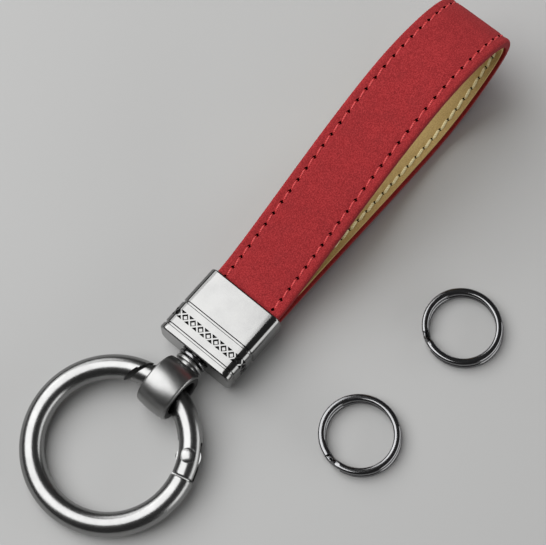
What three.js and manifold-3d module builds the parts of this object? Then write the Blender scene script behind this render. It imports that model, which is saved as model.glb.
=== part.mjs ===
// Leather strap keychain: a folded strap in a cast ferrule, a swivel eye and a spring-gate ring,
// with the two loose split rings of the set lying beside it.
// Millimetres, Z up. X runs along the strap, from the ring to the end of the loop.
// The parts are laid out from the ferrule's ring-side face (x = 0) and the table (z = 0).

import * as THREE from 'three';
import { mergeVertices } from 'three/addons/utils/BufferGeometryUtils.js';
import Module from 'manifold-3d';

const wasm = await Module();
wasm.setup();

// Strap
const STRAP_WIDTH = 19.2;
const LEATHER = 2.1;
const LINING = 0.8;
const GLUE_LINE = 0.1;
const LINING_INSET = 0.8;
const LEATHER_EDGE_RADIUS = 0.8;
const STRAP_END_GAP = 0.3;
const LOOP_REACH = 91.3;
const LOOP_HEIGHT = 32.6;
const CROWN_REACH = 64.7;
const BELLY_REACH = 63;
const FOLD_HEIGHT = 17.5;
const RISE_PULL = 0.17;
const CROWN_PULL = 0.31;
const ROUND_PULL = 0.55;
const FOLD_PULL = 0.4;
const BELLY_PULL = 0.44;
const RETURN_PULL = 0.33;
const STRAP_STEPS = 104;

// Ferrule
const FERRULE_LENGTH = 19.5;
const FERRULE_WALL = 1.4;
const FERRULE_SIDE_WALL = 1.2;
const FERRULE_END_WALL = 2.2;
const FERRULE_CORNER_RADIUS = 2.6;
const FERRULE_RIM_RADIUS = 0.5;
const SOCKET_CORNER_RADIUS = 1;
const SOCKET_CLEARANCE = 0.15;
const GROOVE_WIDTH = 0.35;
const GROOVE_SPACING = 0.8;
const GROOVE_DEPTH = 0.25;
const FRONT_GROOVES = 2;
const BACK_GROOVES = 8.7;
const CROSS_BAND_HEIGHT = 2.8;
const CROSS_PITCH = 2.5;
const CROSS_OPEN_SHARE = 0.68;
const CROSS_DEPTH = 0.35;

// Pins through the strap's two ends
const PIN_RADIUS = 1;
const PIN_SPACING = 9;
const PIN_FROM_MOUTH = 7.5;
const PIN_SEAT_DEPTH = 0.8;
const PIN_CLEARANCE = 0.1;

// Swivel
const SPIGOT_RADIUS = 1.9;
const SPIGOT_CLEARANCE = 0.3;
const SWIVEL_PLAY = 0.25;
const WASHER_RADIUS = 3.9;
const WASHER_THICKNESS = 1;
const FLANGE_RADIUS = 3.7;
const FLANGE_THICKNESS = 1;
const NECK_RADIUS = 2.6;
const NECK_LENGTH = 0.1;
const RETAINER_RADIUS = 2.9;
const RETAINER_THICKNESS = 0.8;
const PEEN_RADIUS = 2.5;
const PEEN_THICKNESS = 0.6;
const STRAP_END_SETBACK = 0.5;

// Eye
const EYE_RADIUS = 7;
const EYE_END_RADIUS = 6.6;
const EYE_LENGTH = 8.6;
const EYE_BORE_RADIUS = 4.5;
const EYE_RIM_ROUND = 1;

// Ring, with angles about its centre, counted from the eye
const RING_RADIUS = 19;
const RING_WIRE_RADIUS = 3;
const RING_SIDES = 16;
const RING_STEP = 7;
const RING_YAW = -5;
const RING_SAG = 1.1;
const PIVOT_ANGLE = -54.8;
const TAIL_LENGTH = 5;
const SEAM_GAP = 0.35;
const SEAM_RELIEF = 4;
const LIP_ROOT_RADIUS = 19.2;
const NOSE_SWING = 23.7;
const STEP_SWING = 24.9;
const LATCH_END = 60;

// Gate hinge and its spring
const TONGUE_THICKNESS = 2.4;
const TONGUE_RADIUS = 3.4;
const TONGUE_BAR = 4.4;
const TONGUE_ROOT = 2;
const TONGUE_FLAT = 2.9;
const SLOT_CLEARANCE = 0.3;
const RIVET_RADIUS = 1.2;
const RIVET_CLEARANCE = 0.1;
const PIVOT_CLEARANCE = 0.3;
const RIVET_HEAD_RADIUS = 1.8;
const RIVET_HEAD_SEAT = 2.6;
const RIVET_HEAD_HEIGHT = 1.1;
const PLUNGER_TILT = 15;
const PLUNGER_RADIUS = 1;
const PLUNGER_LENGTH = 2.4;
const PLUNGER_CLEARANCE = 0.3;
const SPRING_WIRE = 0.36;
const SPRING_PITCH = 0.95;
const SPRING_TURNS = 5;
const SPRING_GAP = 0.45;

// Split rings
const SPLIT_RADIUS = 10;
const SPLIT_WIRE_WIDTH = 1.6;
const SPLIT_WIRE_HEIGHT = 1.4;
const SPLIT_WIRE_EDGE = 0.5;
const SPLIT_TURN_GAP = 0.45;
const SPLIT_FALL = 30;
const SPLIT_END_GAP = 4;
const SPLIT_STEP = 15;
const SPLIT_1_ALONG = 12.1;
const SPLIT_1_ASIDE = 41.9;
const SPLIT_1_END = 163;
const SPLIT_2_ALONG = 49.4;
const SPLIT_2_ASIDE = 44.1;
const SPLIT_2_END = 138;

// How far a cutting shape runs past the piece that it cuts
const CUT_OVERRUN = 1;

// Sizes that follow from the ones above
const STRAP_LAYER = LEATHER + GLUE_LINE + LINING;
const SOCKET_WIDTH = STRAP_WIDTH + 2 * SOCKET_CLEARANCE;
const SOCKET_HEIGHT = 2 * STRAP_LAYER + STRAP_END_GAP + 2 * SOCKET_CLEARANCE;
const FERRULE_WIDTH = SOCKET_WIDTH + 2 * FERRULE_SIDE_WALL;
const FERRULE_HEIGHT = SOCKET_HEIGHT + 2 * FERRULE_WALL;
const AXIS_HEIGHT = Math.max(EYE_RADIUS, FERRULE_HEIGHT / 2);
const WASHER_X = -SWIVEL_PLAY - WASHER_THICKNESS;
const FLANGE_X = WASHER_X - SWIVEL_PLAY - FLANGE_THICKNESS;
const EYE_X = FLANGE_X - NECK_LENGTH - EYE_RADIUS;
const RETAINER_X = FERRULE_END_WALL + SWIVEL_PLAY;
const PEEN_X = RETAINER_X + RETAINER_THICKNESS + SWIVEL_PLAY;
const STRAP_X = PEEN_X + PEEN_THICKNESS + STRAP_END_SETBACK;
const PIN_X = FERRULE_LENGTH - PIN_FROM_MOUTH;
const SLOT_THICKNESS = TONGUE_THICKNESS + 2 * SLOT_CLEARANCE;
const SLOT_REACH = TONGUE_RADIUS + SLOT_CLEARANCE;
const PLUNGER_START = TONGUE_FLAT + PLUNGER_CLEARANCE;
const SPRING_START = PLUNGER_START + PLUNGER_LENGTH + SPRING_GAP;
const SPRING_LENGTH = SPRING_PITCH * SPRING_TURNS + SPRING_WIRE;
const SPRING_RADIUS = PLUNGER_RADIUS - SPRING_WIRE / 2;
const SPRING_BORE_RADIUS = PLUNGER_RADIUS + PLUNGER_CLEARANCE;
const SPRING_BORE_END = SPRING_START + SPRING_LENGTH + SLOT_CLEARANCE;

const RED_LEATHER = { color: 0x9c2c33, roughness: 0.9, metalness: 0 };
const TAN_LINING = { color: 0x9f8f5b, roughness: 0.85, metalness: 0 };
const GUNMETAL = { color: 0x55565a, roughness: 0.22, metalness: 1 };
const SATIN_GUNMETAL = { color: 0x4a4a4c, roughness: 0.38, metalness: 1 };
const BLACK_NICKEL = { color: 0x34343a, roughness: 0.15, metalness: 1 };
const STEEL = { color: 0x8c8d8f, roughness: 0.3, metalness: 1 };

const degrees = THREE.MathUtils.degToRad;
const point = (x, y, z) => new THREE.Vector3(x, y, z);

// A solid for cutting and joining, from any closed geometry.
function solidOf(geometry) {
  const plain = geometry.clone();
  plain.deleteAttribute('normal');
  plain.deleteAttribute('uv');
  const merged = mergeVertices(plain, 1e-4);
  const mesh = new wasm.Mesh({
    numProp: 3,
    vertProperties: new Float32Array(merged.attributes.position.array),
    triVerts: new Uint32Array(merged.index.array),
  });
  return new wasm.Manifold(mesh);
}

function geometryOf(solid) {
  const mesh = solid.getMesh();
  const geometry = new THREE.BufferGeometry();
  geometry.setAttribute('position', new THREE.BufferAttribute(new Float32Array(mesh.vertProperties), 3));
  geometry.setIndex(new THREE.BufferAttribute(new Uint32Array(mesh.triVerts), 1));
  geometry.computeVertexNormals();
  return geometry;
}

function piece(name, geometry, look) {
  const mesh = new THREE.Mesh(geometry, new THREE.MeshStandardMaterial(look));
  mesh.name = name;
  return mesh;
}

// A closed solid through a row of convex rings with equal numbers of points. Looking back along
// the row from its far end, the points of each ring run anticlockwise.
function loft(rings) {
  const sides = rings[0].length;
  const last = (rings.length - 1) * sides;
  const index = [];
  for (let i = 0; i < rings.length - 1; i += 1) {
    for (let j = 0; j < sides; j += 1) {
      const a = i * sides + j;
      const b = i * sides + ((j + 1) % sides);
      index.push(a, b, b + sides, a, b + sides, a + sides);
    }
  }
  for (let j = 1; j < sides - 1; j += 1) {
    index.push(0, j + 1, j);
    index.push(last, last + j, last + j + 1);
  }
  const geometry = new THREE.BufferGeometry().setFromPoints(rings.flat());
  geometry.setIndex(index);
  geometry.computeVertexNormals();
  return geometry;
}

// A rectangle with round corners, about its middle.
function roundedRectangle(width, height, radius) {
  const shape = new THREE.Shape();
  const right = width / 2 - radius;
  const top = height / 2 - radius;
  shape.absarc(right, top, radius, 0, Math.PI / 2);
  shape.absarc(-right, top, radius, Math.PI / 2, Math.PI);
  shape.absarc(-right, -top, radius, Math.PI, 1.5 * Math.PI);
  shape.absarc(right, -top, radius, 1.5 * Math.PI, 2 * Math.PI);
  return shape;
}

// An extrusion of a section drawn in the Y and Z directions, running along X from x0.
const ALONG_X = new THREE.Matrix4().makeBasis(point(0, 1, 0), point(0, 0, 1), point(1, 0, 0));

function alongX(shape, x0, length, options = {}) {
  const settings = { depth: length, bevelEnabled: false, curveSegments: 3, ...options };
  return new THREE.ExtrudeGeometry(shape, settings).applyMatrix4(ALONG_X).translate(x0, 0, AXIS_HEIGHT);
}

// A solid of revolution about the swivel axis, from a profile of [radius, x] pairs.
function turnedOnSwivel(profile) {
  const points = profile.map(([radius, x]) => new THREE.Vector2(radius, x));
  return new THREE.LatheGeometry(points, 24).rotateZ(-Math.PI / 2).translate(0, 0, AXIS_HEIGHT);
}

// The strap: one folded strip of leather and its lining, glued along this path.
function strapPath() {
  const layer = STRAP_END_GAP / 2 + LINING + GLUE_LINE / 2;
  const outside = LEATHER + GLUE_LINE / 2;
  const mouth = FERRULE_LENGTH + FERRULE_RIM_RADIUS;
  const at = (x, z) => point(x, 0, z);
  const upperEnd = at(STRAP_X, AXIS_HEIGHT + layer);
  const upperMouth = at(mouth, AXIS_HEIGHT + layer);
  const crown = at(FERRULE_LENGTH + CROWN_REACH, LOOP_HEIGHT - outside);
  const fold = at(FERRULE_LENGTH + LOOP_REACH - outside, FOLD_HEIGHT);
  const belly = at(FERRULE_LENGTH + BELLY_REACH, outside);
  const lowerMouth = at(mouth, AXIS_HEIGHT - layer);
  const lowerEnd = at(STRAP_X, AXIS_HEIGHT - layer);
  const rise = crown.x - mouth;
  const run = belly.x - mouth;
  const path = new THREE.CurvePath();
  const bend = (from, pullFrom, pullTo, to) => path.add(new THREE.CubicBezierCurve3(
    from, from.clone().add(pullFrom), to.clone().add(pullTo), to,
  ));
  path.add(new THREE.LineCurve3(upperEnd, upperMouth));
  bend(upperMouth, at(RISE_PULL * rise, 0), at(-CROWN_PULL * rise, 0), crown);
  bend(crown, at(ROUND_PULL * (fold.x - crown.x), 0), at(0, ROUND_PULL * (crown.z - fold.z)), fold);
  bend(fold, at(0, -FOLD_PULL * (fold.z - belly.z)), at(BELLY_PULL * (fold.x - belly.x), 0), belly);
  bend(belly, at(-RETURN_PULL * run, 0), at(RETURN_PULL * run, 0), lowerMouth);
  path.add(new THREE.LineCurve3(lowerMouth, lowerEnd));
  return path;
}

// One layer of the strap. The section is drawn as [outwards from the path, across the strap].
function strapLayer(section) {
  const path = strapPath();
  const rings = [];
  for (let i = 0; i <= STRAP_STEPS; i += 1) {
    const centre = path.getPointAt(i / STRAP_STEPS);
    const tangent = path.getTangentAt(i / STRAP_STEPS);
    const out = point(-tangent.z, 0, tangent.x);
    rings.push(section.map(([away, across]) => centre.clone().addScaledVector(out, away)
      .add(point(0, across, 0))));
  }
  return loft(rings);
}

function strapPieces() {
  const inside = GLUE_LINE / 2;
  const outside = inside + LEATHER;
  const half = STRAP_WIDTH / 2;
  const liningHalf = half - LINING_INSET;
  const shoulder = outside - LEATHER_EDGE_RADIUS;
  const crownEdge = half - LEATHER_EDGE_RADIUS;
  const softened = LEATHER_EDGE_RADIUS * (1 - Math.SQRT1_2);
  const leather = solidOf(strapLayer([
    [inside, -half], [inside, half], [shoulder, half], [outside - softened, half - softened],
    [outside, crownEdge], [outside, -crownEdge], [outside - softened, softened - half], [shoulder, -half],
  ]));
  const lining = solidOf(strapLayer([
    [-inside - LINING, -liningHalf], [-inside - LINING, liningHalf], [-inside, liningHalf],
    [-inside, -liningHalf],
  ]));
  const holes = wasm.Manifold.union(pinPlaces().map((y) => solidOf(pinGeometry(y, PIN_CLEARANCE))));
  return [
    piece('strap_leather', geometryOf(leather.subtract(holes)), RED_LEATHER),
    piece('strap_lining', geometryOf(lining.subtract(holes)), TAN_LINING),
  ];
}

// Pins driven from the ferrule's underside through both ends of the strap.
function pinPlaces() {
  return [-PIN_SPACING / 2, PIN_SPACING / 2];
}

function pinGeometry(y, clearance) {
  const bottom = AXIS_HEIGHT - FERRULE_HEIGHT / 2;
  const top = AXIS_HEIGHT + SOCKET_HEIGHT / 2 + PIN_SEAT_DEPTH;
  const radius = PIN_RADIUS + clearance;
  const length = top - bottom + clearance;
  const pin = new THREE.CylinderGeometry(radius, radius, length, 16).rotateX(Math.PI / 2);
  return pin.translate(PIN_X, y, bottom + length / 2);
}

// The recesses between the arms of a row of crosses that runs all round the ferrule.
function crossBand() {
  const outline = roundedRectangle(FERRULE_WIDTH, FERRULE_HEIGHT, FERRULE_CORNER_RADIUS).closePath();
  const around = outline.getLength();
  const cornerArc = FERRULE_CORNER_RADIUS * Math.PI / 2;
  const topMiddle = (cornerArc + FERRULE_WIDTH / 2 - FERRULE_CORNER_RADIUS) / around;
  const count = 2 * Math.round(around / CROSS_PITCH / 2);
  const wide = around / count / 2;
  const tall = CROSS_BAND_HEIGHT / 2;
  const bandX = (FRONT_GROOVES + BACK_GROOVES) / 2;
  const recess = (station, corners) => {
    const share = (topMiddle + station / count) % 1;
    const place = outline.getPoint(share);
    const tangent = outline.getTangent(share);
    const along = point(0, tangent.x, tangent.y);
    const normal = point(0, tangent.y, -tangent.x);
    const points = corners.map(([x, y]) => new THREE.Vector2(x * wide, y * tall));
    const centre = points.reduce((sum, corner) => sum.add(corner), new THREE.Vector2());
    centre.divideScalar(points.length);
    const shape = new THREE.Shape(points.map((corner) => corner.lerp(centre, 1 - CROSS_OPEN_SHARE)));
    const cutter = new THREE.ExtrudeGeometry(shape, { depth: 2 * CROSS_DEPTH, bevelEnabled: false });
    const floor = point(bandX, place.x, AXIS_HEIGHT + place.y).addScaledVector(normal, -CROSS_DEPTH);
    const basis = new THREE.Matrix4().makeBasis(along, point(1, 0, 0), normal).setPosition(floor);
    return solidOf(cutter.applyMatrix4(basis));
  };
  const cuts = [];
  for (let i = 0; i < count; i += 1) {
    cuts.push(recess(i, [[0, 0], [1, 1], [-1, 1]]));
    cuts.push(recess(i, [[0, 0], [-1, -1], [1, -1]]));
    cuts.push(recess(i + 0.5, [[-1, 0], [0, -1], [1, 0], [0, 1]]));
  }
  return wasm.Manifold.union(cuts);
}

function groove(x) {
  const outer = roundedRectangle(
    FERRULE_WIDTH + 2 * CUT_OVERRUN, FERRULE_HEIGHT + 2 * CUT_OVERRUN, FERRULE_CORNER_RADIUS + CUT_OVERRUN,
  );
  outer.holes.push(roundedRectangle(
    FERRULE_WIDTH - 2 * GROOVE_DEPTH, FERRULE_HEIGHT - 2 * GROOVE_DEPTH, FERRULE_CORNER_RADIUS - GROOVE_DEPTH,
  ));
  return solidOf(alongX(outer, x - GROOVE_WIDTH / 2, GROOVE_WIDTH));
}

function ferrulePiece() {
  const section = roundedRectangle(FERRULE_WIDTH, FERRULE_HEIGHT, FERRULE_CORNER_RADIUS);
  const rim = FERRULE_RIM_RADIUS;
  let ferrule = solidOf(alongX(section, rim, FERRULE_LENGTH - 2 * rim, {
    bevelEnabled: true, bevelThickness: rim, bevelSize: rim, bevelOffset: -rim, bevelSegments: 2,
  }));
  const socket = roundedRectangle(SOCKET_WIDTH, SOCKET_HEIGHT, SOCKET_CORNER_RADIUS);
  const spigotHole = new THREE.Shape().absarc(0, 0, SPIGOT_RADIUS + SPIGOT_CLEARANCE, 0, 2 * Math.PI);
  ferrule = ferrule.subtract(solidOf(alongX(socket, FERRULE_END_WALL, FERRULE_LENGTH)));
  const holeLength = FERRULE_END_WALL + 2 * CUT_OVERRUN;
  ferrule = ferrule.subtract(solidOf(alongX(spigotHole, -CUT_OVERRUN, holeLength, { curveSegments: 12 })));
  for (const place of [FRONT_GROOVES, BACK_GROOVES]) {
    ferrule = ferrule.subtract(groove(place - GROOVE_SPACING / 2));
    ferrule = ferrule.subtract(groove(place + GROOVE_SPACING / 2));
  }
  ferrule = ferrule.subtract(crossBand());
  for (const y of pinPlaces()) {
    ferrule = ferrule.subtract(solidOf(pinGeometry(y, PIN_CLEARANCE).translate(0, 0, -PIN_CLEARANCE)));
  }
  return piece('ferrule', geometryOf(ferrule), GUNMETAL);
}

function pinPieces() {
  return pinPlaces().map((y, i) => piece(`strap_pin_${i + 1}`, pinGeometry(y, 0), STEEL));
}

// The eye: a crowned barrel with a round-rimmed bore, its flange, and the spigot that turns in the ferrule.
function eyePiece() {
  const half = EYE_LENGTH / 2;
  const waist = half - EYE_RIM_ROUND;
  const rim = (EYE_END_RADIUS + EYE_BORE_RADIUS) / 2;
  const outline = new THREE.Path();
  outline.moveTo(EYE_BORE_RADIUS, -waist);
  outline.quadraticCurveTo(EYE_BORE_RADIUS, -half, rim, -half);
  outline.quadraticCurveTo(EYE_END_RADIUS, -half, EYE_END_RADIUS, -waist);
  outline.quadraticCurveTo(2 * EYE_RADIUS - EYE_END_RADIUS, 0, EYE_END_RADIUS, waist);
  outline.quadraticCurveTo(EYE_END_RADIUS, half, rim, half);
  outline.quadraticCurveTo(EYE_BORE_RADIUS, half, EYE_BORE_RADIUS, waist);
  const profile = outline.getPoints(4);
  profile.push(profile[0].clone());
  const barrel = solidOf(new THREE.LatheGeometry(profile, 30).translate(EYE_X, 0, AXIS_HEIGHT));
  const root = EYE_X + (EYE_BORE_RADIUS + EYE_RADIUS) / 2;
  const stem = solidOf(turnedOnSwivel([
    [0, root], [NECK_RADIUS, root], [NECK_RADIUS, FLANGE_X], [FLANGE_RADIUS, FLANGE_X],
    [FLANGE_RADIUS, FLANGE_X + FLANGE_THICKNESS], [SPIGOT_RADIUS, FLANGE_X + FLANGE_THICKNESS],
    [SPIGOT_RADIUS, PEEN_X], [PEEN_RADIUS, PEEN_X], [PEEN_RADIUS, PEEN_X + PEEN_THICKNESS / 2],
    [SPIGOT_RADIUS, PEEN_X + PEEN_THICKNESS], [0, PEEN_X + PEEN_THICKNESS],
  ]));
  return piece('swivel_eye', geometryOf(barrel.add(stem)), SATIN_GUNMETAL);
}

function disc(name, x, thickness, radius, look) {
  const bore = SPIGOT_RADIUS + SPIGOT_CLEARANCE / 2;
  const edge = thickness / 4;
  return piece(name, turnedOnSwivel([
    [bore, x], [radius - edge, x], [radius, x + edge], [radius, x + thickness - edge],
    [radius - edge, x + thickness], [bore, x + thickness], [bore, x],
  ]), look);
}

// A stretch of the ring's round wire between two angles, in the ring's own plane.
function ringArc(from, to) {
  const steps = Math.ceil((to - from) / RING_STEP);
  const rings = [];
  for (let i = 0; i <= steps; i += 1) {
    const turn = degrees(from + (to - from) * i / steps);
    const ring = [];
    for (let j = 0; j < RING_SIDES; j += 1) {
      const around = 2 * Math.PI * j / RING_SIDES;
      const radius = RING_RADIUS + RING_WIRE_RADIUS * Math.cos(around);
      const height = -RING_WIRE_RADIUS * Math.sin(around);
      ring.push(point(radius * Math.cos(turn), radius * Math.sin(turn), height));
    }
    rings.push(ring);
  }
  return solidOf(loft(rings));
}

// A round column across the ring's plane, and a wedge of that plane between two angles.
const TALL = 6 * RING_WIRE_RADIUS;
const BEYOND = 2 * RING_RADIUS;
const SWING_SIDES = 96;

function column(radius, x, y, sides = SWING_SIDES) {
  const round = new THREE.CylinderGeometry(radius, radius, TALL, sides).rotateX(Math.PI / 2);
  return solidOf(round.translate(x, y, 0));
}

function wedge(from, to) {
  const shape = new THREE.Shape();
  shape.moveTo(0, 0);
  shape.lineTo(BEYOND * Math.cos(degrees(from)), BEYOND * Math.sin(degrees(from)));
  shape.absarc(0, 0, BEYOND, degrees(from), degrees(to));
  const geometry = new THREE.ExtrudeGeometry(shape, { depth: TALL, bevelEnabled: false });
  return solidOf(geometry.translate(0, 0, -TALL / 2));
}

// Places a geometry drawn about the gate's pivot (X outwards, Y along the wire towards the nose).
const PIVOT_X = RING_RADIUS * Math.cos(degrees(PIVOT_ANGLE));
const PIVOT_Y = RING_RADIUS * Math.sin(degrees(PIVOT_ANGLE));
const TAIL_ANGLE = PIVOT_ANGLE - THREE.MathUtils.radToDeg(TAIL_LENGTH / RING_RADIUS);
const SHOULDER_ANGLE = TAIL_ANGLE - THREE.MathUtils.radToDeg(SEAM_GAP / RING_RADIUS);

function atPivot(geometry, tilt = 0) {
  return geometry.rotateZ(degrees(PIVOT_ANGLE + tilt)).translate(PIVOT_X, PIVOT_Y, 0);
}

function pivotColumn(radius, sides = 32) {
  return column(radius, PIVOT_X, PIVOT_Y, sides);
}

// The ring's body: a long arc, with a lip ahead of the gate's nose and a tongue in the gate's slot.
// Lip and nose end on arcs about the pivot, so the nose swings clear.
function ringBodyPiece() {
  const arc = ringArc(0, 360 + SHOULDER_ANGLE);
  const step = column(LIP_ROOT_RADIUS, 0, 0).intersect(pivotColumn(STEP_SWING, SWING_SIDES));
  const noseRoom = step.add(pivotColumn(NOSE_SWING + SEAM_GAP, SWING_SIDES)).intersect(wedge(-1, LATCH_END));
  const across = 3 * RING_WIRE_RADIUS;
  const relief = new THREE.BoxGeometry(across, across, TALL).translate(-across / 2, across / 2, 0);
  relief.rotateZ(degrees(SEAM_RELIEF)).translate(RING_RADIUS + RING_WIRE_RADIUS, 0, 0);
  relief.rotateZ(degrees(SHOULDER_ANGLE));
  const barLength = TAIL_LENGTH + SEAM_GAP + TONGUE_ROOT;
  const bar = new THREE.BoxGeometry(TONGUE_BAR, barLength, TONGUE_THICKNESS).translate(0, -barLength / 2, 0);
  const chord = -THREE.MathUtils.radToDeg(barLength / 2 / RING_RADIUS);
  const round = new THREE.CylinderGeometry(TONGUE_RADIUS, TONGUE_RADIUS, TONGUE_THICKNESS, 32);
  const flat = new THREE.BoxGeometry(BEYOND, BEYOND, TALL).translate(0, TONGUE_FLAT + BEYOND / 2, 0);
  const tongue = solidOf(atPivot(round.rotateX(Math.PI / 2))).subtract(solidOf(atPivot(flat, PLUNGER_TILT)))
    .add(solidOf(atPivot(bar, chord))).intersect(column(RING_RADIUS + RING_WIRE_RADIUS, 0, 0));
  const body = arc.subtract(noseRoom).subtract(solidOf(relief)).add(tongue)
    .subtract(pivotColumn(RIVET_RADIUS + PIVOT_CLEARANCE));
  return piece('ring_body', geometryOf(body), GUNMETAL);
}

// The gate: a short arc with a slotted, riveted tail, a spring bore and a rounded nose.
function gatePiece() {
  const slotLength = SLOT_REACH + 2 * TAIL_LENGTH;
  const slot = new THREE.BoxGeometry(TALL, slotLength, SLOT_THICKNESS);
  slot.translate(0, SLOT_REACH - slotLength / 2, 0);
  const bore = new THREE.CylinderGeometry(SPRING_BORE_RADIUS, SPRING_BORE_RADIUS, SPRING_BORE_END, 20);
  bore.translate(0, SPRING_BORE_END / 2, 0);
  let gate = ringArc(TAIL_ANGLE, LATCH_END).intersect(pivotColumn(NOSE_SWING, SWING_SIDES));
  gate = gate.subtract(solidOf(atPivot(slot))).subtract(solidOf(atPivot(bore, PLUNGER_TILT)));
  gate = gate.subtract(pivotColumn(RIVET_RADIUS + RIVET_CLEARANCE));
  const seatRadius = RIVET_HEAD_RADIUS + 2 * RIVET_CLEARANCE;
  for (const side of [-1, 1]) {
    const seat = new THREE.CylinderGeometry(seatRadius, seatRadius, RING_WIRE_RADIUS, 32);
    const seatMiddle = RIVET_HEAD_SEAT - RIVET_CLEARANCE + RING_WIRE_RADIUS / 2;
    seat.rotateX(Math.PI / 2).translate(0, 0, side * seatMiddle);
    gate = gate.subtract(solidOf(atPivot(seat)));
  }
  return piece('gate', geometryOf(gate), GUNMETAL);
}

function gateRivetPiece() {
  const dome = [0, 0.25, 0.5, 0.75, 1].map((share) => new THREE.Vector2(
    RIVET_HEAD_RADIUS * Math.cos(share * Math.PI / 2),
    RIVET_HEAD_SEAT + RIVET_HEAD_HEIGHT * (0.3 + 0.7 * Math.sin(share * Math.PI / 2)),
  ));
  dome[dome.length - 1].x = 0;
  const upper = [
    new THREE.Vector2(RIVET_RADIUS, RIVET_HEAD_SEAT),
    new THREE.Vector2(RIVET_HEAD_RADIUS, RIVET_HEAD_SEAT),
    ...dome,
  ];
  const lower = upper.map((corner) => new THREE.Vector2(corner.x, -corner.y)).reverse();
  const rivet = new THREE.LatheGeometry([...lower, ...upper], 28).rotateX(Math.PI / 2);
  return piece('gate_rivet', atPivot(rivet), GUNMETAL);
}

function plungerPiece() {
  const plunger = new THREE.CylinderGeometry(PLUNGER_RADIUS, PLUNGER_RADIUS, PLUNGER_LENGTH, 20);
  plunger.translate(0, PLUNGER_START + PLUNGER_LENGTH / 2, 0);
  return piece('gate_plunger', atPivot(plunger, PLUNGER_TILT), STEEL);
}

// The least clear distance between turns of a winding that lie at least half a turn apart.
function leastGap(centres, halfTurn, thickness) {
  let least = Infinity;
  for (let i = 0; i < centres.length; i += 1) {
    for (let j = i + halfTurn; j < centres.length; j += 1) {
      least = Math.min(least, centres[i].distanceTo(centres[j]) - thickness);
    }
  }
  return least;
}

function springPiece() {
  const stepsPerTurn = 8;
  const sides = 5;
  const steps = stepsPerTurn * SPRING_TURNS;
  const start = SPRING_START + SPRING_WIRE / 2;
  const centres = [];
  const rings = [];
  for (let i = 0; i <= steps; i += 1) {
    const turn = 2 * Math.PI * i / stepsPerTurn;
    const out = point(Math.cos(turn), 0, Math.sin(turn));
    const centre = out.clone().multiplyScalar(SPRING_RADIUS).setY(start + SPRING_PITCH * i / stepsPerTurn);
    centres.push(centre);
    rings.push(Array.from({ length: sides }, (_, j) => {
      const around = 2 * Math.PI * j / sides;
      return centre.clone().addScaledVector(out, SPRING_WIRE / 2 * Math.cos(around))
        .add(point(0, SPRING_WIRE / 2 * Math.sin(around), 0));
    }));
  }
  console.log(`gate_spring least gap ${leastGap(centres, stepsPerTurn / 2, SPRING_WIRE).toFixed(2)} mm`);
  return piece('gate_spring', atPivot(loft(rings), PLUNGER_TILT), STEEL);
}

// A split ring: an upper and a lower flat turn of wire, joined by a short fall that both ends stop short of.
function splitRingPiece(name, x, y, end) {
  const rise = SPLIT_WIRE_HEIGHT + SPLIT_TURN_GAP;
  const radius = SPLIT_RADIUS - SPLIT_WIRE_WIDTH / 2;
  const flatTurn = 360 - SPLIT_FALL - SPLIT_END_GAP;
  const total = 2 * flatTurn + SPLIT_FALL;
  const halfWidth = SPLIT_WIRE_WIDTH / 2;
  const halfHeight = SPLIT_WIRE_HEIGHT / 2;
  const flatWidth = halfWidth - SPLIT_WIRE_EDGE;
  const flatHeight = halfHeight - SPLIT_WIRE_EDGE;
  const section = [
    [halfWidth, flatHeight], [flatWidth, halfHeight], [-flatWidth, halfHeight], [-halfWidth, flatHeight],
    [-halfWidth, -flatHeight], [-flatWidth, -halfHeight], [flatWidth, -halfHeight], [halfWidth, -flatHeight],
  ];
  const stops = [];
  for (let angle = 0; angle < flatTurn; angle += SPLIT_STEP) {
    stops.push(angle);
  }
  for (let angle = flatTurn; angle < flatTurn + SPLIT_FALL; angle += SPLIT_FALL / 4) {
    stops.push(angle);
  }
  for (let angle = flatTurn + SPLIT_FALL; angle < total; angle += SPLIT_STEP) {
    stops.push(angle);
  }
  stops.push(total);
  const centres = [];
  const rings = stops.map((angle) => {
    const fallen = THREE.MathUtils.smoothstep(angle, flatTurn, flatTurn + SPLIT_FALL);
    const turn = degrees(end - angle);
    const out = point(Math.cos(turn), Math.sin(turn), 0);
    const height = SPLIT_WIRE_HEIGHT / 2 + rise * (1 - fallen);
    centres.push(out.clone().multiplyScalar(radius).setZ(height));
    return section.map(([across, up]) => out.clone().multiplyScalar(radius + across).setZ(height + up));
  });
  const gap = leastGap(centres, Math.round(centres.length / 4), SPLIT_WIRE_HEIGHT);
  console.log(`${name} least gap ${gap.toFixed(2)} mm`);
  const ring = piece(name, loft(rings), BLACK_NICKEL);
  ring.position.set(x, y, 0);
  return ring;
}

// The ring hangs in the eye's bore, turned a little and tipped until its far side lies on the table.
function ringGroup() {
  const wireHeight = AXIS_HEIGHT - RING_SAG;
  const reach = RING_RADIUS * (1 + Math.cos(degrees(RING_YAW)));
  const tip = Math.asin((wireHeight - RING_WIRE_RADIUS) / reach);
  const flat = new THREE.Group();
  flat.add(ringBodyPiece(), gatePiece(), gateRivetPiece(), plungerPiece(), springPiece());
  flat.position.set(-RING_RADIUS, 0, 0);
  const turned = new THREE.Group();
  turned.add(flat);
  turned.rotation.set(0, -tip, degrees(RING_YAW), 'YZX');
  turned.position.set(EYE_X, 0, wireHeight);
  return turned;
}

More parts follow.
